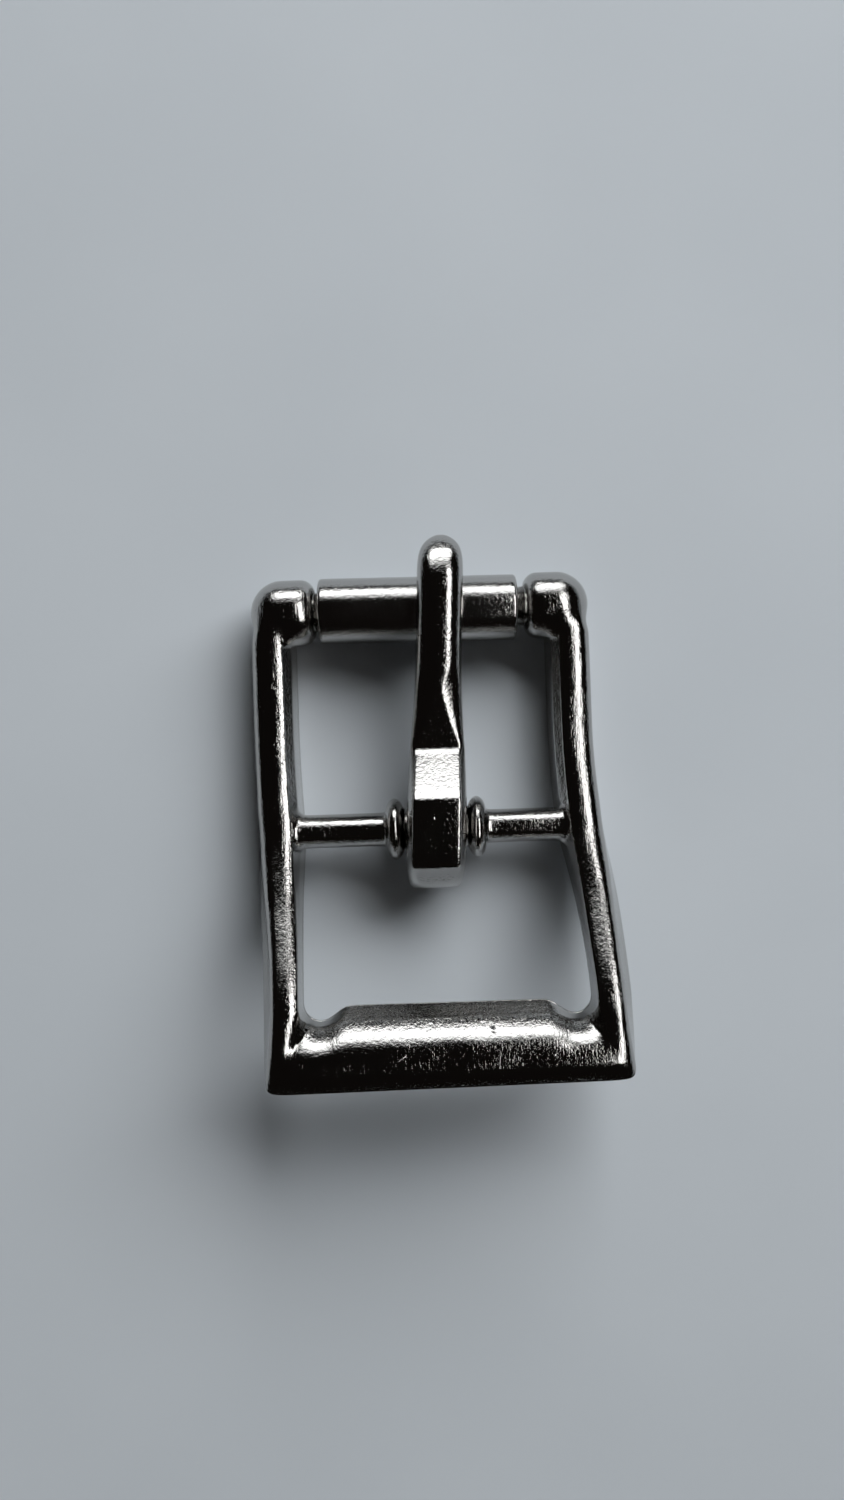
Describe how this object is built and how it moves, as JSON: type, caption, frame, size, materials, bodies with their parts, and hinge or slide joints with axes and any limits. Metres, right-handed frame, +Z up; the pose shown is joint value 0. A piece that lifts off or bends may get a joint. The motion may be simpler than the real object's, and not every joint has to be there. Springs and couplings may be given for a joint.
{
  "type": "roller buckle",
  "caption": "Cast roller buckle with a wide heel bar, round bosses, a centre bar with collars, a loose roller tube and a humped tongue that lies on the roller.",
  "frame": {"origin": "middle of the outer box, on the surface that the buckle lies on", "axes": "+X to the right along the centre bar, +Y from the heel bar to the roller and the tongue's tip, +Z up from the surface"},
  "size_m": [0.0286, 0.0412, 0.0099],
  "materials": {
    "cast_nickel": "bright nickel plate on a tumbled zinc casting",
    "tube_nickel": "bright nickel plate on a steel tube",
    "tongue_nickel": "bright nickel plate on a polished zinc casting"
  },
  "bodies": {
    "frame": {"frame": "cast_nickel"},
    "roller": {"roller": "tube_nickel"},
    "tongue": {"tongue": "tongue_nickel"}
  },
  "joints": [
    {"name": "tongue_hinge", "type": "hinge", "parent": "frame", "child": "tongue", "pos_m": [-0.0004, -0.00179, 0.00295], "axis": [1, 0, 0], "range_deg": [0, 134]},
    {"name": "roller_spin", "type": "hinge", "parent": "frame", "child": "roller", "pos_m": [-0.00129, 0.01536, 0.00265], "axis": [1, 0, 0], "continuous": true}
  ]
}
